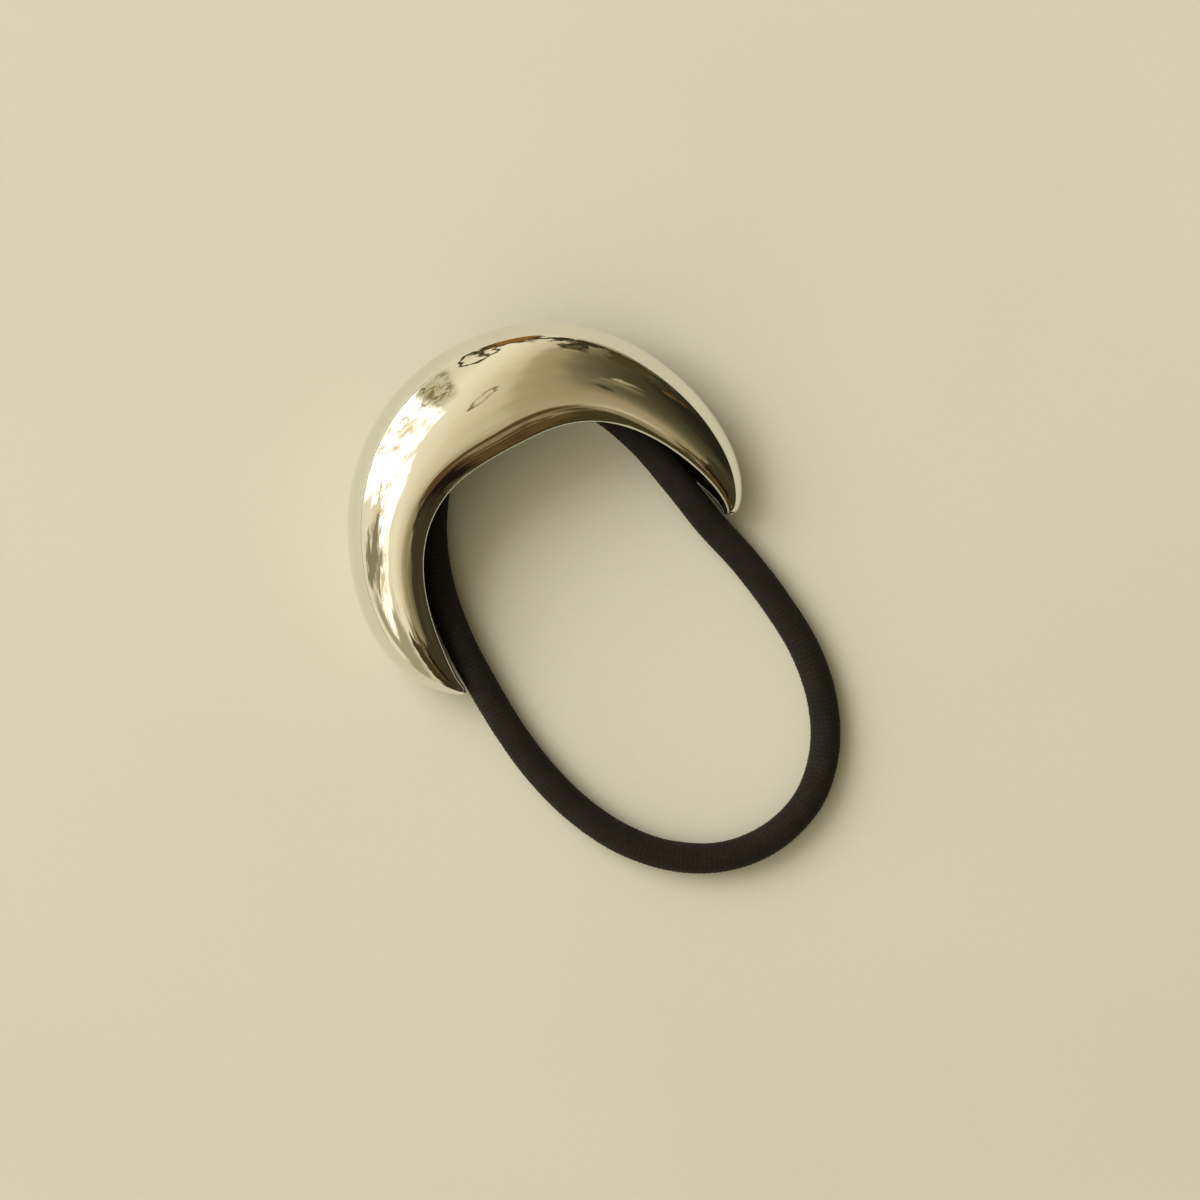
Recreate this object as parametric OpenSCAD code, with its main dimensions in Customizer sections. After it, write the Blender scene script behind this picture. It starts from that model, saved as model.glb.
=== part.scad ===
// Ponytail cuff: a hollow crescent of polished metal, open along its inner side,
// and a knitted elastic loop that runs through the hollow and behind a keeper post.
// It lies on its side as it rests on a table. Millimetres, +Z up, +X from the left
// tip to the right tip, +Y from the mouth to the back.
// The origin is on the table, under the centre of the metal body's box.

/* [Metal body] */
// Radius of the outer edge at the back, seen from above
back_r = 24.2; // [22:0.1:27]
// Depth of the body at the back, from its outer edge to its rim
body_depth = 14.3; // [12:0.1:16]
// Height of the body at the back, from cheek to cheek
body_height = 15.2; // [13:0.1:18]
// Thickness of the metal
wall = 0.9; // [0.6:0.05:1.2]
// Angle from the back to the end of each arm, in degrees
arm_sweep = 124.5; // [118:0.5:128]
// How far the section curls round from its outer edge to its rims, in degrees
wrap = 124; // [118:1:132]

/* [Keeper post] */
// Thickness of the post that is soldered across the hollow
keeper_d = 1.6; // [1.2:0.1:2]
// Free space between the post and the elastic behind it
keeper_gap = 0.3; // [0.2:0.1:0.6]

/* [Elastic loop] */
// Thickness of the round elastic
elastic_d = 4; // [3:0.1:4.2]

/* [Hidden] */

// Sections from the left tip to the right tip, evenly spaced in place (-1 to 1).
// Columns: outer edge / back_r, depth / body_depth, height / body_height, upper curl / wrap
SECTIONS = [
    [1.095, 0.045, 0.11, 1],
    [1.115, 0.11, 0.21, 1],
    [1.145, 0.33, 0.43, 1],
    [1.165, 0.56, 0.625, 1],
    [1.13, 0.68, 0.755, 1],
    [1.06, 0.73, 0.85, 1],
    [1.03, 0.865, 0.94, 1],
    [1.01, 1.01, 0.985, 1],
    [1.00, 1.065, 1.00, 1],
    [1.01, 1.055, 0.985, 1],
    [1.03, 0.94, 0.94, 0.98],
    [1.03, 0.74, 0.85, 0.93],
    [1.06, 0.61, 0.755, 0.87],
    [1.105, 0.48, 0.625, 0.82],
    [1.12, 0.295, 0.43, 0.79],
    [1.10, 0.14, 0.23, 0.78],
    [1.06, 0.07, 0.14, 0.78]
];
EDGE = 0;
DEPTH = 1;
HEIGHT = 2;
CURL = 3;

// Centre line of the elastic, hand-laid: x, y and height. It is a closed loop.
ELASTIC_ROUTE = [
    [15, 2, 4.4],
    [17, -4.6, 4.1],
    [17.9, -11.5, 3.9],
    [18.6, -18.4, 2.5],
    [19.7, -25.2, 2.1],
    [20.2, -32.2, 2.1],
    [20, -39.2, 2.1],
    [18.3, -46, 2.1],
    [14.8, -52, 2.1],
    [9.4, -56.3, 2.1],
    [2.6, -57.8, 2.1],
    [-4.2, -56.4, 2.1],
    [-10, -52.4, 2.1],
    [-14.2, -46.9, 2.1],
    [-16.9, -40.4, 2.1],
    [-18.3, -33.6, 2.1],
    [-18.7, -26.6, 2.1],
    [-18.4, -19.6, 2.5],
    [-17.7, -12.8, 3.2],
    [-16, -6, 3.4],
    [-13, 0.5, 3.9],
    [-9, 5.6, 4.4],
    [-4.4, 9.5, 3.8],
    [1, 11.5, 3.5],
    [7, 11, 3.5],
    [12, 7.5, 3.7]
];
// The row of the route that lies behind the post, counted from 0
POST_ROW = 23;
behind_post = ELASTIC_ROUTE[POST_ROW];

// How finely the body and the elastic are drawn
stations = 72;
arc_steps = 28;
route_rings = 52;
elastic_sides = 10;
keeper_sides = 12;
// The metal is never thicker than this share of a narrow section's half size
thin_share = 0.45;
// The arms, where the body touches the table, start at this place
arm_start = 0.3;

// A row of a table, carried on in a straight line past its ends
function beyond(table, col, i) =
    let (last = len(table) - 1)
    i < 0 ? 2 * table[0][col] - table[1][col]
    : i > last ? 2 * table[last][col] - table[last - 1][col]
    : table[i][col];

// A column of a table as one smooth curve, at a place from -1 to 1
function smooth(table, col, place) =
    let (
        x = (place + 1) / 2 * (len(table) - 1),
        i = min(floor(x), len(table) - 2),
        f = x - i,
        p = [for (k = [-1:2]) beyond(table, col, i + k)]
    )
    (pow(1 - f, 3) * p[0] + (3 * pow(f, 3) - 6 * f * f + 4) * p[1]
        + (3 * f + 3 * f * f - 3 * pow(f, 3) + 1) * p[2] + pow(f, 3) * p[3]) / 6;

// How far the section at a place curls round to its upper rim
function rim_curl(place) = wrap * smooth(SECTIONS, CURL, place);

// The curl some way round a section. Its lower half always curls by the full wrap.
function curl_at(place, way) = way * (way < 0 ? wrap : rim_curl(place));

// The section at a place: angle round the crescent, centre radius, half depth, half height
function section(place) =
    let (
        half_depth = body_depth * smooth(SECTIONS, DEPTH, place) / (1 - cos(rim_curl(place))),
        outer = back_r * smooth(SECTIONS, EDGE, place)
    )
    [
        arm_sweep * sin(90 * place),
        outer - half_depth,
        half_depth,
        body_height / 2 * smooth(SECTIONS, HEIGHT, place)
    ];

// A point of a section, curled by an angle from the outer edge and set in by a depth
function skin_point(place, curl, inset) =
    let (
        s = section(place),
        set_in = min(inset, thin_share * min(s[2], s[3])),
        r = s[1] + (s[2] - set_in) * cos(curl)
    )
    [r * sin(s[0]), r * cos(s[0]), (s[3] - set_in) * sin(curl)];

places = [for (i = [0:stations - 1]) 2 * i / (stations - 1) - 1];
// The ways round a section, from its lower rim (-1) to its upper rim (1)
ways = [for (j = [0:arc_steps]) 2 * j / arc_steps - 1];

// One closed ring of a wall: the outer skin one way, the inner skin back
function wall_ring(place) =
    concat(
        [for (way = ways) skin_point(place, curl_at(place, way), 0)],
        [for (j = [arc_steps:-1:0]) skin_point(place, curl_at(place, ways[j]), wall)]
    );

// How far the body leans forward from its back until its arms touch the table
foot_back = skin_point(0, -90, 0);
lean = min([
    for (place = places) if (abs(place) >= arm_start)
        let (foot = skin_point(place, -90, 0))
        atan2(foot[2] - foot_back[2], foot_back[1] - foot[1])
]);

// The body as it lies: leaned forward, set on the table and centred over the origin
leaned = [
    for (place = places, way = ways)
        let (p = skin_point(place, curl_at(place, way), 0))
        [p[0], p[1] * cos(lean) - p[2] * sin(lean), p[1] * sin(lean) + p[2] * cos(lean)]
];
leaned_x = [for (p = leaned) p[0]];
leaned_y = [for (p = leaned) p[1]];
mid_x = (min(leaned_x) + max(leaned_x)) / 2;
mid_y = (min(leaned_y) + max(leaned_y)) / 2;
lift = -min([for (p = leaned) p[2]]);

// Where the post stands in the upright body, just inside the elastic
keeper_front = behind_post[1] - elastic_d / 2 - keeper_gap - keeper_d / 2;
keeper_y = (keeper_front + mid_y) * cos(lean) + (behind_post[2] - lift) * sin(lean);
keeper_reach = let (
        s = section(0),
        across = (keeper_y - s[1]) / (s[2] - wall / 2)
    )
    (s[3] - wall / 2) * sqrt(1 - across * across);

// Faces between rings of m points each, as triangles
function ring_faces(rings, m, closed) = [
    for (i = [0:rings - (closed ? 1 : 2)], j = [0:m - 1])
        let (
            next = (i + 1) % rings,
            a = i * m + j,
            b = i * m + (j + 1) % m,
            c = next * m + (j + 1) % m,
            d = next * m + j
        )
        each [[a, c, b], [a, d, c]]
];

// Triangles that close the C-shaped end of a wall, between its two skins
function end_faces(first, m, flip) = [
    for (j = [0:m / 2 - 2])
        let (
            a = first + j,
            b = first + j + 1,
            c = first + m - 2 - j,
            d = first + m - 1 - j
        )
        each flip ? [[a, b, c], [a, c, d]] : [[a, c, b], [a, d, c]]
];

// A closed smooth curve through the points of a route, f of the way past point i
function along(route, i, f) =
    let (
        n = len(route),
        p0 = route[(i + n - 1) % n],
        p1 = route[i % n],
        p2 = route[(i + 1) % n],
        p3 = route[(i + 2) % n]
    )
    (2 * p1 + f * (p2 - p0) + f * f * (2 * p0 - 5 * p1 + 4 * p2 - p3)
        + f * f * f * (3 * p1 - p0 - 3 * p2 + p3)) / 2;

function unit(v) = v / norm(v);

// Centres of the elastic's rings, and the points of one ring round its centre
elastic_line = [
    for (k = [0:route_rings - 1])
        let (x = k * len(ELASTIC_ROUTE) / route_rings)
        along(ELASTIC_ROUTE, floor(x), x - floor(x))
];
function elastic_ring(k) =
    let (
        n = route_rings,
        ahead = unit(elastic_line[(k + 1) % n] - elastic_line[(k + n - 1) % n]),
        side = unit(cross([0, 0, 1], ahead)),
        up = cross(ahead, side)
    )
    [
        for (j = [0:elastic_sides - 1])
            let (turn = 360 * j / elastic_sides - 90)
            elastic_line[k] + elastic_d / 2 * (cos(turn) * side + sin(turn) * up)
    ];

// Lays the upright body on the table
module settle() {
    translate([-mid_x, -mid_y, lift])
        rotate([lean, 0, 0])
            children();
}

// The hollow crescent wall
module crescent_wall() {
    m = 2 * (arc_steps + 1);
    polyhedron(
        points = [for (place = places) each wall_ring(place)],
        faces = concat(
            ring_faces(stations, m, false),
            end_faces(0, m, true),
            end_faces((stations - 1) * m, m, false)
        ),
        convexity = 6
    );
}

// The post that holds the elastic in, soldered into both cheeks
module keeper_post() {
    translate([0, keeper_y, -keeper_reach])
        cylinder(d = keeper_d, h = 2 * keeper_reach, $fn = keeper_sides);
}

module cuff_shell() {
    color("silver")
        settle()
            union() {
                crescent_wall();
                keeper_post();
            }
}

module elastic_loop() {
    color([0.08, 0.08, 0.08])
        polyhedron(
            points = [for (k = [0:route_rings - 1]) each elastic_ring(k)],
            faces = ring_faces(route_rings, elastic_sides, true),
            convexity = 4
        );
}

cuff_shell();
elastic_loop();
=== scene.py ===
import math

import bmesh
import bpy
import numpy as np
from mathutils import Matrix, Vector, noise


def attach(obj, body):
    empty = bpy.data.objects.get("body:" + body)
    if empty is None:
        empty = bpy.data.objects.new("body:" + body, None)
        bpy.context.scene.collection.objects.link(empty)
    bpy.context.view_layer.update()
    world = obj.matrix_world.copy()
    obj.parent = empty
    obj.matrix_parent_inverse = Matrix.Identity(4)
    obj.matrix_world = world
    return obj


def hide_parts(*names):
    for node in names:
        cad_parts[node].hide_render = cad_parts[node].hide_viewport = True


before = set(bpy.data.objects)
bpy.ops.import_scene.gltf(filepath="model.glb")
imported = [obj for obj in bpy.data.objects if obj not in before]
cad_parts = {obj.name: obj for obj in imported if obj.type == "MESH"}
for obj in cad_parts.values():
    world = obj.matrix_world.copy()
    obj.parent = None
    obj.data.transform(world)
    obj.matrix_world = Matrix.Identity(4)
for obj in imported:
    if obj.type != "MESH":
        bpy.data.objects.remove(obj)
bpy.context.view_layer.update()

# Camera
# It looks straight down on the cuff from half a metre above the table, turned so that
# the elastic hangs off to the lower right, as in the photograph.
camera_height = 0.500
camera_over = (0.00083, -0.01895)
camera_turn = math.radians(-33.25)
view_width = 0.160
sensor_width = 36.0

camera_data = bpy.data.cameras.new("camera")
camera_data.sensor_width = sensor_width
camera_data.lens = sensor_width * camera_height / view_width
camera = bpy.data.objects.new("camera", camera_data)
camera.location = (*camera_over, camera_height)
camera.rotation_euler = (0, 0, camera_turn)
bpy.context.scene.collection.objects.link(camera)
bpy.context.scene.camera = camera

# Elastic loop
# A hair elastic 4 mm thick: rubber strands inside a circular-knit sleeve of matte black
# yarn. It is one closed loop, threaded through the hollow and behind the keeper post.
elastic_d = 0.004
elastic_route = [
    (0.0150, 0.0020, 0.0044), (0.0170, -0.0046, 0.0041), (0.0179, -0.0115, 0.0039),
    (0.0186, -0.0184, 0.0025), (0.0197, -0.0252, 0.0021), (0.0202, -0.0322, 0.0021),
    (0.0200, -0.0392, 0.0021), (0.0183, -0.0460, 0.0021), (0.0148, -0.0520, 0.0021),
    (0.0094, -0.0563, 0.0021), (0.0026, -0.0578, 0.0021), (-0.0042, -0.0564, 0.0021),
    (-0.0100, -0.0524, 0.0021), (-0.0142, -0.0469, 0.0021), (-0.0169, -0.0404, 0.0021),
    (-0.0183, -0.0336, 0.0021), (-0.0187, -0.0266, 0.0021), (-0.0184, -0.0196, 0.0025),
    (-0.0177, -0.0128, 0.0032), (-0.0160, -0.0060, 0.0034), (-0.0130, 0.0005, 0.0039),
    (-0.0090, 0.0056, 0.0044), (-0.0044, 0.0095, 0.0038), (0.0010, 0.0115, 0.0035),
    (0.0070, 0.0110, 0.0035), (0.0120, 0.0075, 0.0037),
]
# The row of the route that lies behind the keeper post, counted from 0
post_row = 23
# How finely the route's curve is walked between two of its points
curve_steps = 40
# The knit: columns of stitches round the sleeve, the height of one stitch, and its relief
knit_columns = 22
stitch_height = 0.00062
stitch_relief = 0.00009
# How much of the relief is left between the legs of a stitch, and between two rows
leg_gap = 0.35
row_gap = 0.25
rings_per_stitch = 4
points_per_column = 3
# How much the sleeve's thickness wanders, and over what distance
sleeve_wander = 0.00004
sleeve_wander_size = 0.006
# Raised lint: how far it stands out, and how wide a tuft is
lint_relief = 0.00005
lint_size = 0.00022


def along(route, i, f):
    """A closed smooth curve through a route's points, f of the way past point i."""
    n = len(route)
    p0, p1, p2, p3 = (np.array(route[(i + k) % n]) for k in (-1, 0, 1, 2))
    return (2 * p1 + f * (p2 - p0) + f * f * (2 * p0 - 5 * p1 + 4 * p2 - p3)
            + f ** 3 * (3 * p1 - p0 - 3 * p2 + p3)) / 2


def walk(line):
    """How far along a line of points each of them lies."""
    return np.concatenate([[0], np.cumsum(np.linalg.norm(np.diff(line, axis=0), axis=1))])


def wave(turns, low):
    """A smooth wave over a number of turns, from low up to 1 in each turn."""
    return low + (1 - low) * (0.5 + 0.5 * np.cos(2 * math.pi * turns))


def knit_height(columns, rows):
    """Relief of a knitted face, 1 on the two slanting legs of each stitch and less in the gaps."""
    across = abs(columns - np.floor(columns) - 0.5)
    return wave(2 * (across - 0.25), leg_gap) * wave(rows + across, row_gap)


def noise_at(points, size):
    """Smooth noise, from -1 to 1, at each point; its bumps are about as wide as the size."""
    return np.array([noise.noise(Vector(p / size)) for p in points])


def ring_faces(rings, sides, closed=False):
    """Faces between rings of points; a closed row of rings joins its last ring to its first."""
    faces = []
    for i in range(rings if closed else rings - 1):
        this_ring, next_ring = i * sides, (i + 1) % rings * sides
        for j in range(sides):
            after = (j + 1) % sides
            faces.append((this_ring + j, next_ring + j, next_ring + after, this_ring + after))
    return faces


def mesh_object(name, points, faces, smooth=True):
    """A new object with a mesh from points and faces, with smooth or flat shading."""
    mesh = bpy.data.meshes.new(name)
    mesh.from_pydata([tuple(p) for p in points], [], faces)
    mesh.validate()
    if smooth:
        mesh.shade_smooth()
    made = bpy.data.objects.new(name, mesh)
    bpy.context.scene.collection.objects.link(made)
    return made


route_curve = [along(elastic_route, i, k / curve_steps)
               for i in range(len(elastic_route)) for k in range(curve_steps)]
route_curve = np.array([*route_curve, route_curve[0]])
walked = walk(route_curve)
stitch_rows = round(walked[-1] / stitch_height)
elastic_rings = stitch_rows * rings_per_stitch
elastic_sides = knit_columns * points_per_column
ring_places = np.linspace(0, walked[-1], elastic_rings, endpoint=False)
elastic_line = np.column_stack([np.interp(ring_places, walked, axis) for axis in route_curve.T])

ahead = np.roll(elastic_line, -1, 0) - np.roll(elastic_line, 1, 0)
ahead /= np.linalg.norm(ahead, axis=1, keepdims=True)
side = np.cross([0, 0, 1], ahead)
side /= np.linalg.norm(side, axis=1, keepdims=True)
above = np.cross(ahead, side)
turn = 2 * math.pi * np.arange(elastic_sides) / elastic_sides
outward = np.cos(turn)[:, None] * side[:, None, :] + np.sin(turn)[:, None] * above[:, None, :]
ring_no, side_no = np.indices((elastic_rings, elastic_sides))
relief = knit_height(side_no / points_per_column, ring_no / rings_per_stitch)
wander = noise_at(elastic_line, sleeve_wander_size)
radius = elastic_d / 2 + stitch_relief * (relief - 0.5) + sleeve_wander * wander[:, None]
sleeve = (elastic_line[:, None, :] + radius[:, :, None] * outward).reshape(-1, 3)
raised_lint = lint_relief * noise_at(sleeve, lint_size)
elastic_points = sleeve + raised_lint[:, None] * outward.reshape(-1, 3)
elastic_faces = ring_faces(elastic_rings, elastic_sides, closed=True)
elastic = mesh_object("knit_elastic", elastic_points, elastic_faces)

# The knit's own coordinates: stitch columns round the sleeve and stitch rows along it
corner_uv = []
for i in range(elastic_rings):
    row, next_row = i / rings_per_stitch, (i + 1) / rings_per_stitch
    for j in range(elastic_sides):
        column, next_column = j / points_per_column, (j + 1) / points_per_column
        corner_uv += [column, row, column, next_row, next_column, next_row, next_column, row]
elastic.data.uv_layers.new(name="knit").data.foreach_set("uv", corner_uv)


def new_material(name, base, roughness, metallic):
    """A material with one Principled shader, and its node tree to build on."""
    material = bpy.data.materials.new(name)
    material.use_nodes = True
    shader = material.node_tree.nodes["Principled BSDF"]
    shader.inputs["Base Color"].default_value = (*base, 1)
    shader.inputs["Roughness"].default_value = roughness
    shader.inputs["Metallic"].default_value = metallic
    return material, material.node_tree, shader


def feed(tree, value, socket):
    """Puts a number, a colour or another node's output into a socket."""
    if isinstance(value, (int, float)):
        socket.default_value = value
    elif isinstance(value, tuple):
        socket.default_value = (*value, 1)
    else:
        tree.links.new(value, socket)


def math_node(tree, operation, *values):
    """The result of a Math node; each value is a number or another node's output."""
    node = tree.nodes.new("ShaderNodeMath")
    node.operation = operation
    for value, socket in zip(values, node.inputs):
        feed(tree, value, socket)
    return node.outputs[0]


def wave_node(tree, turns, low):
    """The same wave as in the mesh, made of nodes."""
    cosine = math_node(tree, "COSINE", math_node(tree, "MULTIPLY", turns, 2 * math.pi))
    return math_node(tree, "MULTIPLY_ADD", cosine, (1 - low) / 2, (1 + low) / 2)


def weighted(tree, first, first_share, second, second_share):
    """Two values added together, each times its share."""
    return math_node(tree, "ADD", math_node(tree, "MULTIPLY", first, first_share),
                     math_node(tree, "MULTIPLY", second, second_share))


def noise_node(tree, vector, scale, detail, roughness):
    """A Noise texture's value over a vector."""
    node = tree.nodes.new("ShaderNodeTexNoise")
    feed(tree, vector, node.inputs["Vector"])
    feed(tree, scale, node.inputs["Scale"])
    feed(tree, detail, node.inputs["Detail"])
    feed(tree, roughness, node.inputs["Roughness"])
    return node.outputs["Fac"]


def ramp_node(tree, value, stops):
    """A colour ramp over a value, from (place, colour) stops."""
    node = tree.nodes.new("ShaderNodeValToRGB")
    ramp = node.color_ramp
    while len(ramp.elements) < len(stops):
        ramp.elements.new(1)
    for element, (place, colour) in zip(ramp.elements, stops):
        element.position = place
        element.color = (*colour, 1)
    feed(tree, value, node.inputs["Fac"])
    return node.outputs["Color"]


def object_place(tree):
    """A surface point's place on its piece, in metres."""
    return tree.nodes.new("ShaderNodeTexCoord").outputs["Object"]


def map_place(tree, map_name):
    """A surface point's place on one of its piece's own maps."""
    node = tree.nodes.new("ShaderNodeUVMap")
    node.uv_map = map_name
    return node.outputs["UV"]


def add_bump(tree, shader, height, strength, distance):
    """Lets a height roughen a shader's surface, by a strength and over a distance in metres."""
    node = tree.nodes.new("ShaderNodeBump")
    feed(tree, strength, node.inputs["Strength"])
    feed(tree, distance, node.inputs["Distance"])
    feed(tree, height, node.inputs["Height"])
    feed(tree, node.outputs["Normal"], shader.inputs["Normal"])


# Yarn colours: the gap colour is painted shade in the recesses between stitches; the worn colour is
# worn patches and painted light on the raised legs
yarn_black = (0.0105, 0.0092, 0.0080)
yarn_worn_and_lit = (0.0400, 0.0350, 0.0300)
yarn_gap_shade = (0.0025, 0.0023, 0.0020)
yarn_sheen = (0.85, 0.78, 0.70)
# How much light is left in the painted shade between two rows of stitches
row_gap_shade = 0.45
# Shares of the stitches and the lint in the fuzz, and of the fuzz and worn patches in the shade
stitch_share, lint_share = 0.35, 0.85
fuzz_share, patch_share = 0.8, 0.25

yarn, tree, shader = new_material("matte_black_knit", yarn_black, roughness=0.92, metallic=0)
shader.inputs["Specular IOR Level"].default_value = 0.25
shader.inputs["Sheen Weight"].default_value = 0.03
shader.inputs["Sheen Roughness"].default_value = 0.5
shader.inputs["Sheen Tint"].default_value = (*yarn_sheen, 1)
on_knit = tree.nodes.new("ShaderNodeSeparateXYZ")
feed(tree, map_place(tree, "knit"), on_knit.inputs["Vector"])
in_column = math_node(tree, "FRACT", on_knit.outputs["X"])
across = math_node(tree, "ABSOLUTE", math_node(tree, "SUBTRACT", in_column, 0.5))
leg_turns = math_node(tree, "MULTIPLY", math_node(tree, "SUBTRACT", across, 0.25), 2)
row_turns = math_node(tree, "ADD", on_knit.outputs["Y"], across)
# The stitch pattern in the colour follows the relief: painted shade in the gaps between legs and rows
stitch = math_node(tree, "MULTIPLY", wave_node(tree, leg_turns, 0),
                   wave_node(tree, row_turns, row_gap_shade))
place = object_place(tree)
lint = noise_node(tree, place, scale=5200, detail=3, roughness=0.75)
patches = noise_node(tree, place, scale=420, detail=3, roughness=0.6)
fuzz = weighted(tree, stitch, stitch_share, lint, lint_share)
shade = weighted(tree, fuzz, fuzz_share, patches, patch_share)
# The ramp paints shade into the gaps between the stitches and lightens their raised legs, over random
# lint and worn patches
yarn_colour = ramp_node(tree, shade, [(0.25, yarn_gap_shade), (0.55, yarn_black), (0.95, yarn_worn_and_lit)])
feed(tree, yarn_colour, shader.inputs["Base Color"])
add_bump(tree, shader, fuzz, strength=0.7, distance=0.00006)
elastic.data.materials.append(yarn)

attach(elastic, "root")
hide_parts("elastic_loop")

# Metal body
# A hollow crescent with a C-shaped section, cast thin in white metal, polished to a mirror
# and plated. Its rims are rolled round. The hollow behind them is left dull as cast, and
# its near-black colour there is painted shade.
back_r = 0.0242
body_depth = 0.0143
body_height = 0.0152
wall = 0.0009
arm_sweep = math.radians(124.5)
wrap = math.radians(124)
# The wall is never thicker than this share of a narrow section's half size
thin_share = 0.45
# Where the arms start, to both sides; the body leans forward until they come down
arm_start = 0.3
# Sections from the left tip to the right tip, evenly spaced in place (-1 to 1).
# Columns: outer edge / back_r, depth / body_depth, height / body_height, upper curl / wrap
sections = np.array([
    (1.095, 0.045, 0.11, 1), (1.115, 0.11, 0.21, 1), (1.145, 0.33, 0.43, 1),
    (1.165, 0.56, 0.625, 1), (1.13, 0.68, 0.755, 1), (1.06, 0.73, 0.85, 1),
    (1.03, 0.865, 0.94, 1), (1.01, 1.01, 0.985, 1), (1.00, 1.065, 1.00, 1),
    (1.01, 1.055, 0.985, 1), (1.03, 0.94, 0.94, 0.98), (1.03, 0.74, 0.85, 0.93),
    (1.06, 0.61, 0.755, 0.87), (1.105, 0.48, 0.625, 0.82), (1.12, 0.295, 0.43, 0.79),
    (1.10, 0.14, 0.23, 0.78), (1.06, 0.07, 0.14, 0.78),
])
# How finely the body is drawn, and how finely it is measured before it is laid down
body_stations = 300
skin_steps = 112
rim_steps = 9
nose_rings = 6
measured_stations = 401
measured_curls = 121
# The rim is rounded over most of the wall's thickness and over a length of the skin
outer_share = 0.86
roll_length = 0.00045
inner_roll = 0.12
# Hand-polished surfaces are never quite even: depth and size of the soft dips and ripples
dip_depth = 0.000020
dip_size = 0.0065
ripple_depth = 0.0000016
ripple_size = 0.0017


def smooth(values, places):
    """A table's column as one smooth curve, at places from -1 to 1."""
    last = len(values) - 1
    carried = np.concatenate([[2 * values[0] - values[1]], values, [2 * values[-1] - values[-2]]])
    x = (np.clip(places, -1, 1) + 1) / 2 * last
    i = np.minimum(np.floor(x).astype(int), last - 1)
    f = x - i
    return ((1 - f) ** 3 * carried[i] + (3 * f ** 3 - 6 * f ** 2 + 4) * carried[i + 1]
            + (1 + 3 * f + 3 * f ** 2 - 3 * f ** 3) * carried[i + 2] + f ** 3 * carried[i + 3]) / 6


def rim_curl(places):
    """How far the section at each place curls round to its upper rim."""
    return wrap * smooth(sections[:, 3], places)


def drawn_out(places, curls):
    """The curls of sections at each place, with their lower half drawn out to the full wrap."""
    return np.where(curls < 0, curls * wrap / rim_curl(places)[:, None], curls)


def section(places):
    """Angle round the crescent, centre radius, half depth and half height at each place."""
    half_depth = body_depth * smooth(sections[:, 1], places) / (1 - np.cos(rim_curl(places)))
    outer = back_r * smooth(sections[:, 0], places)
    angle = arm_sweep * np.sin(places * math.pi / 2)
    return angle, outer - half_depth, half_depth, body_height / 2 * smooth(sections[:, 2], places)


def wall_at(places):
    """The wall's thickness at each place, as a column: thinner in the narrow sections."""
    _, _, half_depth, half_height = section(places)
    return np.minimum(wall, thin_share * np.minimum(half_depth, half_height))[:, None]


def skin(places, curls, inset_shares, reach=0.0):
    """Points of the sections at each place: a curl and an inset, as a share of the wall.

    The reach carries a section on round the crescent, by a length."""
    angle, centre, half_depth, half_height = (v[:, None] for v in section(places))
    inset = wall_at(places) * inset_shares
    r = centre + (half_depth - inset) * np.cos(curls)
    z = (half_height - inset) * np.sin(curls)
    angle = angle + reach / centre
    return np.stack([r * np.sin(angle), r * np.cos(angle), z + 0 * r], axis=-1)


# The body leans forward from its back until its arms come down to the table
measured_places = np.linspace(-1, 1, measured_stations)
underside = skin(measured_places, np.array([[-math.pi / 2]]), 0)[:, 0]
foot_back = underside[len(measured_places) // 2]
on_arms = abs(measured_places) >= arm_start
lean = min(np.arctan2(underside[on_arms, 2] - foot_back[2], foot_back[1] - underside[on_arms, 1]))


def leaned(points):
    """Upright body points, turned by the lean about the X axis."""
    x, y, z = np.moveaxis(points, -1, 0)
    return np.stack([x, y * math.cos(lean) - z * math.sin(lean),
                     y * math.sin(lean) + z * math.cos(lean)], axis=-1)


every_curl = rim_curl(measured_places)[:, None] * np.linspace(-1, 1, measured_curls)
all_round = leaned(skin(measured_places, drawn_out(measured_places, every_curl), 0)).reshape(-1, 3)
lowest, highest = all_round.min(0), all_round.max(0)
set_down = np.array([-(lowest[0] + highest[0]) / 2, -(lowest[1] + highest[1]) / 2, -lowest[2]])


def ring_profile(places):
    """Curls and wall shares of the points once round the wall, from the middle of the lower rim.

    The outer skin comes first and the inner skin back, so that each point of the ring's first
    half faces one of its second half through the wall."""
    _, _, half_depth, half_height = (v[:, None] for v in section(places))
    curl = rim_curl(places)[:, None]
    roll = roll_length / wall * wall_at(places) / ((half_depth + half_height) / 2)
    t = np.linspace(0, math.pi / 2, rim_steps + 1)[None, 1:]
    skin_end = curl - roll
    outer = skin_end * np.linspace(-1, 1, skin_steps)[None, :]
    roll_out = skin_end + roll * np.sin(t)
    roll_in = curl - inner_roll * roll * (1 - np.cos(t))
    inner = (curl - inner_roll * roll) * np.linspace(1, -1, skin_steps)[None, :]
    ones = np.ones_like(curl)
    out_share = ones * outer_share * (1 - np.cos(t))
    in_share = ones * (outer_share + (1 - outer_share) * np.sin(t))
    curls = drawn_out(places, np.hstack([
        -roll_out[:, ::-1], outer, roll_out, roll_in, inner, -roll_in[:, ::-1]]))
    shares = np.hstack([out_share[:, ::-1], 0 * outer, out_share, in_share, 1 + 0 * inner,
                        in_share[:, ::-1]])
    return curls, shares


places = np.linspace(-1, 1, body_stations)
curls, shares = ring_profile(places)
body = skin(places, curls, shares)
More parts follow.
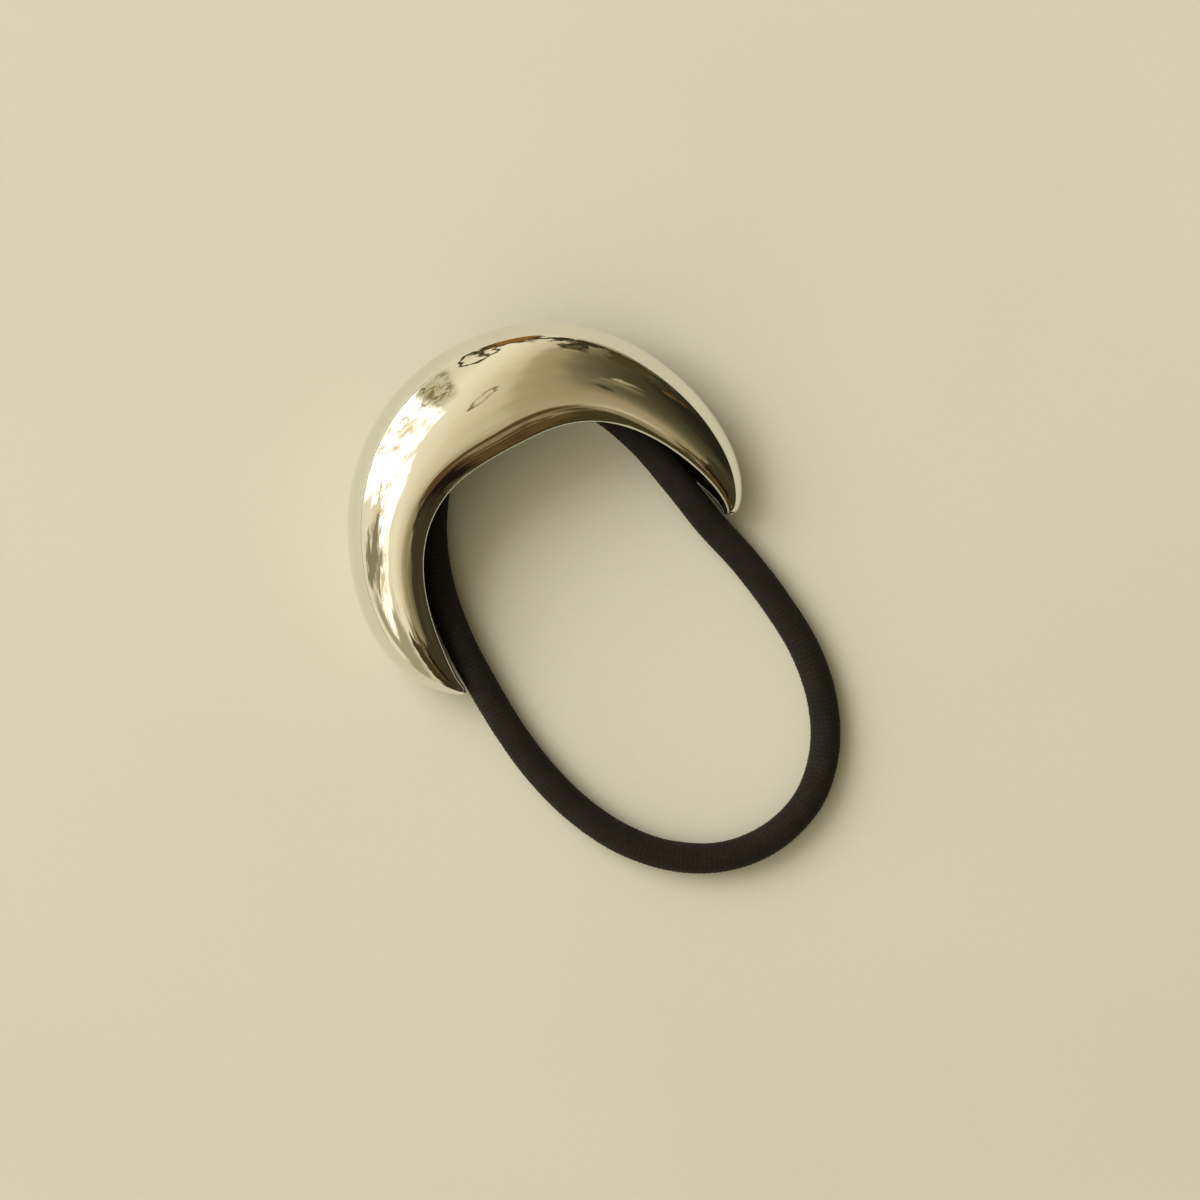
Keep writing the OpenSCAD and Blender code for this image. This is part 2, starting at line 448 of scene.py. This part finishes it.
# Past its last section each tip ends like the edge of a sheet: the wall rounds over to its
# middle, and so do the two rims
nose_turn = np.linspace(0, math.pi / 2, nose_rings + 2)[1:-1, None]
ends = []
for end, sign in ((0, -1), (-1, 1)):
    end_place = np.full(nose_rings, places[end])
    end_curls, end_shares = ring_profile(end_place)
    _, _, half_depth, half_height = (v[:, None] for v in section(end_place))
    drawn_in = wall_at(end_place) / 2 * (1 - np.cos(nose_turn)) / ((half_depth + half_height) / 2)
    end_curls = end_curls * (1 - drawn_in / rim_curl(end_place)[:, None])
    end_shares = 0.5 + (end_shares - 0.5) * np.cos(nose_turn)
    end_reach = sign * wall_at(end_place) / 2 * np.sin(nose_turn)
    ends.append(skin(end_place, end_curls, end_shares, end_reach))
rings = np.concatenate([ends[0][::-1], body, ends[1]])
ring_count, ring_size = rings.shape[:2]
points = leaned(rings) + set_down

# Soft dips and fine ripples, pushed along the surface's normal; a length of almost zero
# keeps a point with no clear normal from dividing by zero
almost_zero = 1e-12
step_along = np.gradient(points, axis=0)
step_round = np.roll(points, -1, 1) - np.roll(points, 1, 1)
normals = np.cross(step_along, step_round)
normals /= np.linalg.norm(normals, axis=-1, keepdims=True) + almost_zero
even = points.reshape(-1, 3)
dips = dip_depth * noise_at(even, dip_size) + ripple_depth * noise_at(even, ripple_size)
body_points = even + normals.reshape(-1, 3) * dips[:, None]

body_faces = ring_faces(ring_count, ring_size)
last_ring = (ring_count - 1) * ring_size
for j in range(ring_size // 2 - 1):
    a, b, c, d = j, j + 1, ring_size - 2 - j, ring_size - 1 - j
    body_faces.append((a, b, c, d))
    body_faces.append((last_ring + d, last_ring + c, last_ring + b, last_ring + a))
metal = mesh_object("metal_body", body_points, body_faces)

# The skin's own coordinates in millimetres: along the crescent and round its section
mm_per_m = 1000
walked_along = walk(points[:, skin_steps // 2]) * mm_per_m
walked_round = walk(points[ring_count // 2]) * mm_per_m
vertex_uv = np.column_stack([np.repeat(walked_along, ring_size), np.tile(walked_round, ring_count)])
corners = np.zeros(len(metal.data.loops), dtype=int)
metal.data.loops.foreach_get("vertex_index", corners)
metal.data.uv_layers.new(name="skin").data.foreach_set("uv", vertex_uv[corners].ravel())

# The hollow side is dull, and near black with painted shade: the faces of the inner skin,
# which follow the outer skin and three of the ring's rim rolls
hollow_from = skin_steps + 3 * rim_steps - 1
hollow_to = hollow_from + skin_steps
finish = np.zeros(len(body_faces), dtype=int)
face_ring_place = np.tile(np.arange(ring_size), ring_count - 1)
finish[:len(face_ring_place)] = (face_ring_place >= hollow_from) & (face_ring_place <= hollow_to)
metal.data.polygons.foreach_set("material_index", finish)

# Every face looks outwards
facing = bmesh.new()
facing.from_mesh(metal.data)
bmesh.ops.recalc_face_normals(facing, faces=facing.faces)
facing.to_mesh(metal.data)
facing.free()


def soft_step(tree, value, edge, softness):
    """0 below an edge, 1 above it, with a smooth change of the given softness each way."""
    node = tree.nodes.new("ShaderNodeMapRange")
    node.interpolation_type = "SMOOTHSTEP"
    feed(tree, value, node.inputs["Value"])
    feed(tree, math_node(tree, "SUBTRACT", edge, softness), node.inputs["From Min"])
    feed(tree, math_node(tree, "ADD", edge, softness), node.inputs["From Max"])
    return node.outputs["Result"]


def new_group(name, inputs, outputs, vectors=()):
    """An empty node group and its two ends; its sockets take numbers, or vectors where named so."""
    group = bpy.data.node_groups.new(name, "ShaderNodeTree")
    for in_out, socket_names in (("INPUT", inputs), ("OUTPUT", outputs)):
        for socket_name in socket_names:
            kind = "NodeSocketVector" if socket_name in vectors else "NodeSocketFloat"
            group.interface.new_socket(socket_name, in_out=in_out, socket_type=kind)
    group_in = group.nodes.new("NodeGroupInput").outputs
    group_out = group.nodes.new("NodeGroupOutput").inputs
    return group, group_in, group_out


def place_group(tree, group, label, values):
    """A group placed in a tree; its inputs take, in order, numbers or other nodes' outputs."""
    node = tree.nodes.new("ShaderNodeGroup")
    node.node_tree = group
    node.label = label
    for value, socket in zip(values, node.inputs):
        feed(tree, value, socket)
    return node.outputs


# Marks of handling, shared by every metal surface: a film of smudges and fine specks.
# It puts out how rough the surface is, and where the film lies.
specks_per_metre = 900
speck_reach = 0.045
marks, marks_in, marks_out = new_group(
    "handling_marks", ("Place", "Smudge scale", "Clean", "Smudged"), ("Roughness", "Film"),
    vectors=("Place",))
smudges = noise_node(marks, marks_in["Place"], marks_in["Smudge scale"], detail=5, roughness=0.55)
specks = marks.nodes.new("ShaderNodeTexVoronoi")
feed(marks, marks_in["Place"], specks.inputs["Vector"])
feed(marks, specks_per_metre, specks.inputs["Scale"])
speck = math_node(marks, "LESS_THAN", specks.outputs["Distance"], speck_reach)
film = math_node(marks, "MAXIMUM", soft_step(marks, smudges, edge=0.57, softness=0.15), speck)
spread = math_node(marks, "SUBTRACT", marks_in["Smudged"], marks_in["Clean"])
feed(marks, math_node(marks, "MULTIPLY_ADD", film, spread, marks_in["Clean"]), marks_out["Roughness"])
feed(marks, film, marks_out["Film"])


def marked_metal(name, bright, filmed, roughness, smudge_scale, clean, smudged):
    """A metal with the handling marks over it: its colours, and its roughness in all, clean
    and smudged."""
    material, tree, shader = new_material(name, bright, roughness, metallic=1)
    marked = place_group(tree, marks, "marks", (object_place(tree), smudge_scale, clean, smudged))
    feed(tree, marked["Roughness"], shader.inputs["Roughness"])
    feed(tree, ramp_node(tree, marked["Film"], [(0, bright), (1, filmed)]), shader.inputs["Base Color"])
    return material, tree, shader


plate_bright = (0.88, 0.865, 0.83)
plate_filmed = (0.84, 0.82, 0.775)
# The hollow's near-black colours are painted shade: clean, and where the film of marks lies
hollow_shade_dark = (0.070, 0.065, 0.057)
hollow_shade_filmed = (0.140, 0.131, 0.115)

plate, tree, shader = marked_metal("polished_plate", plate_bright, plate_filmed, roughness=0.03,
                                   smudge_scale=170, clean=0.022, smudged=0.075)
# Hairlines from the polishing wheel run along the crescent
hairline_stretch = (0.12, 9.0, 1.0)
stretched = tree.nodes.new("ShaderNodeMapping")
stretched.inputs["Scale"].default_value = hairline_stretch
feed(tree, map_place(tree, "skin"), stretched.inputs["Vector"])
hairlines = noise_node(tree, stretched.outputs["Vector"], scale=1.6, detail=3, roughness=0.6)
add_bump(tree, shader, hairlines, strength=0.5, distance=0.00000012)
metal.data.materials.append(plate)

# The hollow's skin: dull as cast, and coloured near black as painted shade
hollow_shade_skin, tree, shader = marked_metal("dull_cast_painted_shade", hollow_shade_dark, hollow_shade_filmed, roughness=0.5,
                                       smudge_scale=420, clean=0.42, smudged=0.62)
cast_grain = noise_node(tree, object_place(tree), scale=2600, detail=4, roughness=0.6)
add_bump(tree, shader, cast_grain, strength=0.6, distance=0.00004)
metal.data.materials.append(hollow_shade_skin)

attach(metal, "root")
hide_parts("cuff_shell")

# Keeper post
# A short wire post across the hollow, at the middle of the back, that keeps the elastic in.
# It is soldered to both cheeks from inside, with a little foot of solder at each end.
keeper_d = 0.0016
keeper_gap = 0.0003
solder_length = 0.0008
solder_spread = 0.0007
# The solder's outline is uneven: by how much, how quickly it changes, and how unlike the two
# feet are
solder_unevenness = 0.00012
uneven_scale = 1.7
feet_unlike = 2
post_sides = 24
post_rings = 60

behind_post = elastic_route[post_row]
keeper_front = behind_post[1] - elastic_d / 2 - keeper_gap - keeper_d / 2
keeper_y = ((keeper_front - set_down[1]) * math.cos(lean)
            + (behind_post[2] - set_down[2]) * math.sin(lean))
_, back_centre, back_half_depth, back_half_height = (float(v[0]) for v in section(np.zeros(1)))


def cheek_height(inset):
    """Half the height of the hollow where the post stands, at an inset into the wall."""
    over = (keeper_y - back_centre) / (back_half_depth - inset)
    return (back_half_height - inset) * math.sqrt(1 - over * over)


keeper_reach = cheek_height(wall / 2)
hollow_reach = cheek_height(wall)
post_turn = 2 * math.pi * np.arange(post_sides) / post_sides
post_heights = keeper_reach * np.sin(np.linspace(-math.pi / 2, math.pi / 2, post_rings))
post_points = []
for height in post_heights:
    into_solder = np.clip(1 - (hollow_reach - abs(height)) / solder_length, 0, 1)
    for a in post_turn:
        rim = Vector((math.cos(a), math.sin(a), math.copysign(feet_unlike, height)))
        spread = solder_spread + solder_unevenness * noise.noise(rim * uneven_scale)
        r = keeper_d / 2 + spread * into_solder ** 2
        post_points.append((r * math.cos(a), keeper_y + r * math.sin(a), height))
low_end, high_end = len(post_points), len(post_points) + 1
post_points += [(0, keeper_y, -keeper_reach), (0, keeper_y, keeper_reach)]
post_points = leaned(np.array(post_points)) + set_down
post_faces = [(a, d, c, b) for a, b, c, d in ring_faces(post_rings, post_sides)]
top_ring = (post_rings - 1) * post_sides
for j in range(post_sides):
    after = (j + 1) % post_sides
    post_faces.append((low_end, after, j))
    post_faces.append((high_end, top_ring + j, top_ring + after))
post = mesh_object("keeper_post", post_points, post_faces)

wire_bright = (0.62, 0.60, 0.56)
wire_filmed = (0.50, 0.48, 0.44)

wire, _, _ = marked_metal("plated_wire", wire_bright, wire_filmed, roughness=0.2,
                          smudge_scale=900, clean=0.16, smudged=0.34)
post.data.materials.append(wire)

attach(post, "root")
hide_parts("cuff_shell")

# Table
# A plain table top in matte warm cream, faintly cloudy and with a fine grain, wide enough
# to fill every view.
table_size = 6.0
table_pale = (0.605, 0.612, 0.548)
table_deep = (0.571, 0.575, 0.507)
# Shares of the clouds and the grain in the colour
cloud_share, grain_share = 0.6, 0.4

table_corners = [(x * table_size / 2, y * table_size / 2, 0)
                 for x, y in ((-1, -1), (1, -1), (1, 1), (-1, 1))]
table = mesh_object("table", table_corners, [(0, 1, 2, 3)], smooth=False)
lacquer, tree, shader = new_material("cream_lacquer", table_pale, roughness=0.75, metallic=0)
shader.inputs["Specular IOR Level"].default_value = 0.2
place = object_place(tree)
clouds = noise_node(tree, place, scale=14, detail=4, roughness=0.5)
grain = noise_node(tree, place, scale=1600, detail=2, roughness=0.6)
mottle = weighted(tree, clouds, cloud_share, grain, grain_share)
table_colour = ramp_node(tree, mottle, [(0.3, table_deep), (0.7, table_pale)])
feed(tree, table_colour, shader.inputs["Base Color"])
add_bump(tree, shader, grain, strength=0.15, distance=0.00005)
table.data.materials.append(lacquer)

# Room
# Soft studio surroundings: a warm ceiling, a window to the upper left with its frame and
# curtains, and dark furniture low down, all as zones of the world by direction.
world = bpy.data.worlds.new("room")
bpy.context.scene.world = world
world.use_nodes = True
tree = world.node_tree
direction = tree.nodes.new("ShaderNodeTexCoord").outputs["Generated"]


def eye_colour(red, green, blue, bright=1.0):
    """A colour as the eye reads it, 0 to 255 each, as linear light of a brightness."""
    return tuple(bright * (v / 255 / 12.92 if v < 11 else ((v / 255 + 0.055) / 1.055) ** 2.4)
                 for v in (red, green, blue))


# A zone is a patch between two bearings and two heights, in degrees, with soft edges
zone, zone_in, zone_out = new_group(
    "room_zone", ("Around", "Up", "Centre", "Half width", "Low", "High", "Side softness",
                  "End softness"), ("Mask",))
off_centre = math_node(zone, "SUBTRACT", zone_in["Around"], zone_in["Centre"])
wrapped = math_node(zone, "ABSOLUTE", math_node(zone, "WRAP", off_centre, 180, -180))
beside = soft_step(zone, wrapped, zone_in["Half width"], zone_in["Side softness"])
over_low = soft_step(zone, zone_in["Up"], zone_in["Low"], zone_in["End softness"])
over_high = soft_step(zone, zone_in["Up"], zone_in["High"], zone_in["End softness"])
inside = math_node(zone, "MULTIPLY", math_node(zone, "SUBTRACT", 1, beside),
                   math_node(zone, "SUBTRACT", over_low, over_high))
feed(zone, inside, zone_out["Mask"])

# An outline is a thin oval line seen in the room's plan: across to the right and ahead
line_softness = 0.4
oval, oval_in, oval_out = new_group(
    "room_outline", ("Across", "Ahead", "Centre across", "Centre ahead", "Half across",
                     "Half ahead", "Line"), ("Mask",))
squares = []
for axis in ("across", "ahead"):
    off = math_node(oval, "SUBTRACT", oval_in[axis.capitalize()], oval_in["Centre " + axis])
    share = math_node(oval, "DIVIDE", off, oval_in["Half " + axis])
    squares.append(math_node(oval, "MULTIPLY", share, share))
from_middle = math_node(oval, "SQRT", math_node(oval, "ADD", *squares))
off_line = math_node(oval, "ABSOLUTE", math_node(oval, "SUBTRACT", from_middle, 1))
line_edge = math_node(oval, "MULTIPLY", oval_in["Line"], line_softness)
beside_line = soft_step(oval, off_line, oval_in["Line"], line_edge)
feed(oval, math_node(oval, "SUBTRACT", 1, beside_line), oval_out["Mask"])

# Directions are measured as the photograph shows them: around from its right-hand side
# (90 is its top edge, 180 its left), and up from the horizon.
turning = tree.nodes.new("ShaderNodeMapping")
turning.inputs["Rotation"].default_value = (0, 0, -camera_turn)
feed(tree, direction, turning.inputs["Vector"])
turned = turning.outputs["Vector"]
axes = tree.nodes.new("ShaderNodeSeparateXYZ")
feed(tree, turned, axes.inputs["Vector"])
around = math_node(tree, "DEGREES", math_node(tree, "ARCTAN2", axes.outputs["Y"], axes.outputs["X"]))
up = math_node(tree, "DEGREES", math_node(tree, "ARCSINE", axes.outputs["Z"]))


def wandering(value, vector, scale, amount):
    """A value that wanders to both sides by up to half an amount, so that edges aren't straight."""
    drift = math_node(tree, "SUBTRACT", noise_node(tree, vector, scale, detail=4, roughness=0.6), 0.5)
    return math_node(tree, "MULTIPLY_ADD", drift, amount, value)


around_rough = wandering(around, direction, scale=6, amount=26)
up_rough = wandering(up, turned, scale=10, amount=26)
across_rough = wandering(axes.outputs["X"], direction, scale=9, amount=0.10)
ahead_rough = wandering(axes.outputs["Y"], turned, scale=8, amount=0.10)


def toward(bearing, height):
    """The direction at a bearing and a height in degrees, as a step of length 1."""
    a, h = math.radians(bearing), math.radians(height)
    return np.array((math.cos(h) * math.cos(a), math.cos(h) * math.sin(a), math.sin(h)))


# Walls and ceiling: a dark corner low on the right, paler away from it
dark_corner_around, dark_corner_up = 15, 25
# Columns: degrees from the dark corner, colour
room_tones = [
    (12, (46, 42, 29)), (26, (68, 63, 42)), (36, (84, 78, 53)), (42, (102, 95, 67)),
    (46, (122, 110, 79)), (50, (149, 135, 98)), (55, (157, 143, 107)), (58, (166, 152, 115)),
    (61, (192, 179, 143)), (66, (210, 196, 160)), (72, (224, 212, 176)), (80, (232, 222, 188)),
    (95, (214, 202, 168)), (130, (226, 215, 184)),
]
to_corner = tree.nodes.new("ShaderNodeVectorMath")
to_corner.operation = "DOT_PRODUCT"
to_corner.inputs[1].default_value = tuple(toward(dark_corner_around, dark_corner_up))
feed(tree, turned, to_corner.inputs[0])
from_corner = math_node(tree, "DEGREES", math_node(tree, "ARCCOSINE", to_corner.outputs["Value"]))
corner_share = math_node(tree, "DIVIDE", from_corner, 180)
tone_stops = [(angle / 180, eye_colour(*tone)) for angle, tone in room_tones]
plain_room = ramp_node(tree, corner_share, tone_stops)
seen = ramp_node(tree, wandering(corner_share, direction, scale=3, amount=0.05), tone_stops)

# Hanging folds, as stripes that run up and down: how close they are, and how they drift
folds_per_degree = 0.3
fold_drift = 0.035
fold_place = tree.nodes.new("ShaderNodeCombineXYZ")
feed(tree, math_node(tree, "MULTIPLY", around_rough, folds_per_degree), fold_place.inputs["X"])
feed(tree, math_node(tree, "MULTIPLY", up, fold_drift), fold_place.inputs["Y"])
fold_noise = noise_node(tree, fold_place.outputs["Vector"], scale=1, detail=2, roughness=0.5)
folds = soft_step(tree, fold_noise, edge=0.53, softness=0.07)


def mixed(mask, under, over):
    """A colour laid on another by a mask; each is a colour or another node's output."""
    node = tree.nodes.new("ShaderNodeMix")
    node.data_type = "RGBA"
    under_socket, over_socket = node.inputs[6], node.inputs[7]
    feed(tree, mask, node.inputs["Factor"])
    feed(tree, under, under_socket)
    feed(tree, over, over_socket)
    return node.outputs[2]


# What stands in the room. Columns: centre and half width around, low and high edge, softness
# of sides and ends, its outline (straight, rough, or in folds), colour, brightness
room_zones = [
    ("grey wall, below", -122, 26, -3, 52, 7, 8, "rough", (158, 148, 116), 1.0),
    ("left wall, low", 205, 36, -12, 13, 6, 2, "straight", (222, 212, 180), 1.0),
    ("window light", 158, 21, 2, 64, 2, 4, "rough", (255, 250, 236), 2.2),
    ("window folds", 158, 21, 3, 62, 2, 4, "folds", (226, 208, 164), 1.0),
    ("curtain, bunched", 131, 7, 4, 58, 3, 5, "straight", (196, 186, 152), 1.0),
    ("curtain shade", 130, 6, 8, 50, 2, 4, "folds", (128, 116, 82), 1.0),
    ("window light, left", 198, 22, 46, 70, 5, 5, "rough", (255, 252, 240), 2.2),
    ("window light, far left", 224, 13, 28, 62, 4, 5, "rough", (250, 240, 214), 1.5),
    ("left folds", 205, 28, 26, 66, 4, 5, "folds", (214, 198, 156), 1.0),
    ("pane with trees", 200, 8, 12, 44, 2, 3, "rough", (134, 125, 94), 1.0),
    ("pane with trees, left", 212, 4, 30, 52, 2, 3, "rough", (146, 137, 106), 1.0),
    ("far edge of the table", 175, 50, -2, 1.2, 4, 0.8, "straight", (148, 138, 108), 1.0),
    ("wall, dim part", -57, 17, 38, 58, 5, 3, "rough", (134, 121, 86), 1.0),
    ("wall, lit part", 27, 8, 56, 63, 5, 4, "rough", (126, 114, 82), 1.0),
    ("board, left part", -77, 13, -6, 53, 3, 1.5, "rough", (62, 54, 28), 1.0),
    ("board, low left part", -63, 4, -6, 43.5, 1, 1, "rough", (84, 67, 35), 1.0),
    ("board, tall part", -56.5, 4, -6, 56, 1, 1.5, "rough", (84, 63, 36), 1.0),
    ("board, right part", -46, 6.5, -6, 50, 1, 1, "rough", (48, 41, 25), 1.0),
    ("board, end", -30, 12, -6, 45, 2, 1, "rough", (58, 52, 33), 1.0),
    ("board, low", -60, 25, -8, 25, 5, 5, "rough", (52, 47, 28), 1.0),
    ("board, dark part", -53, 5.5, 27, 47, 2, 2, "rough", (28, 20, 13), 1.0),
    ("slit of light, low", -52, 5, 15, 19, 2, 2, "rough", (124, 112, 84), 1.0),
    ("cabinet side", -8, 12, -4, 30, 3, 3, "rough", (60, 54, 36), 1.0),
    ("dark cabinet", 17, 21, -4, 30, 5, 4, "rough", (35, 32, 22), 1.0),
    ("shelf", 70, 42, 4, 12, 3, 2, "rough", (50, 46, 28), 1.0),
    ("things on the shelf", 52, 9, 10, 27, 2, 2, "rough", (70, 60, 34), 1.0),
    ("things on the shelf, left", 74, 6, 12, 30, 2, 2, "rough", (84, 76, 50), 1.0),
    ("orange cover", 34, 2.5, 17, 26, 1.5, 1.5, "rough", (108, 76, 42), 1.0),
    ("wooden chair", 99, 9, -6, 9, 2, 2, "rough", (136, 94, 44), 1.0),
    ("pale card", 31, 4, 50, 57, 2, 2, "rough", (168, 156, 118), 1.0),
    ("lamp rail", 7, 8, 66.6, 68.6, 3, 0.5, "straight", (66, 58, 40), 1.0),
]
outline_directions = {
    "straight": (around, up), "rough": (around_rough, up_rough), "folds": (around, up_rough),
}
for name, *patch, outline, colour, bright in room_zones:
    mask = place_group(tree, zone, name, (*outline_directions[outline], *patch))["Mask"]
    if outline == "folds":
        mask = math_node(tree, "MULTIPLY", mask, folds)
    seen = mixed(mask, seen, eye_colour(*colour, bright))

# Thin dark outlines. Columns: centre across and ahead, half size across and ahead, line, colour
room_outlines = [
    ("lamp hook", -0.06, 0.19, 0.030, 0.095, 0.16, (122, 110, 76)),
    ("cable", -0.37, 0.87, 0.085, 0.055, 0.16, (64, 54, 32)),
    ("cable, second loop", -0.29, 0.92, 0.055, 0.035, 0.20, (74, 60, 34)),
    ("handle", 0.26, 0.89, 0.075, 0.040, 0.18, (52, 46, 28)),
    ("window catch", -0.76, 0.46, 0.050, 0.060, 0.14, (196, 168, 104)),
    ("blind cord", -0.60, 0.62, 0.045, 0.090, 0.12, (170, 146, 96)),
]
over_horizon = math_node(tree, "GREATER_THAN", up, 0)
for name, *sizes, colour in room_outlines:
    drawn = place_group(tree, oval, name, (across_rough, ahead_rough, *sizes))["Mask"]
    seen = mixed(math_node(tree, "MULTIPLY", drawn, over_horizon), seen, eye_colour(*colour))

# Matte surfaces are lit by the plain room and its window alone. Columns: centre and half width
# around, low and high edge, softness of sides and ends, colour, brightness
room_lights = [
    ("window", 158, 21, 2, 64, 5, 5, (240, 230, 205), 1.9),
    ("window, left", 204, 26, 44, 70, 6, 6, (250, 240, 214), 2.0),
    ("furniture", -15, 75, -6, 26, 10, 8, (56, 50, 32), 1.0),
]
for name, *patch, colour, bright in room_lights:
    mask = place_group(tree, zone, name, (around, up, *patch))["Mask"]
    plain_room = mixed(mask, plain_room, eye_colour(*colour, bright))

# A mirror shows the room in full; a camera that looks level sees a pale backdrop instead
backdrop_pale = (0.70, 0.67, 0.55)
room_mirrored = 1.15
room_on_matte = 1.18
ray = tree.nodes.new("ShaderNodeLightPath").outputs
lit = tree.nodes["Background"]
feed(tree, plain_room, lit.inputs["Color"])
feed(tree, room_on_matte, lit.inputs["Strength"])
surroundings = lit.outputs["Background"]
for ray_kind, colour, strength in (("Is Glossy Ray", seen, room_mirrored),
                                   ("Is Camera Ray", backdrop_pale, 1)):
    shown = tree.nodes.new("ShaderNodeBackground")
    feed(tree, colour, shown.inputs["Color"])
    feed(tree, strength, shown.inputs["Strength"])
    chosen = tree.nodes.new("ShaderNodeMixShader")
    feed(tree, ray[ray_kind], chosen.inputs[0])
    feed(tree, surroundings, chosen.inputs[1])
    feed(tree, shown.outputs["Background"], chosen.inputs[2])
    surroundings = chosen.outputs["Shader"]
feed(tree, surroundings, tree.nodes["World Output"].inputs["Surface"])

# The room lights the table evenly; a large soft lamp by the window gives the shadows
# their direction and the table its slight fall-off to the right.
lamp_width = 1.2
lamp_height = 0.9
lamp_watts = 15.0
lamp_colour = (1.0, 0.97, 0.90)
lamp_around, lamp_up = 146, 42
lamp_away = 1.5

lamp_data = bpy.data.lights.new("window_lamp", "AREA")
lamp_data.shape = "RECTANGLE"
lamp_data.size = lamp_width
lamp_data.size_y = lamp_height
lamp_data.energy = lamp_watts
lamp_data.color = lamp_colour
lamp = bpy.data.objects.new("window_lamp", lamp_data)
lamp.location = lamp_away * toward(lamp_around + math.degrees(camera_turn), lamp_up)
lamp.rotation_euler = (-lamp.location).to_track_quat("-Z", "Y").to_euler()
lamp.visible_glossy = False
bpy.context.scene.collection.objects.link(lamp)
bpy.context.scene.view_settings.view_transform = "Standard"
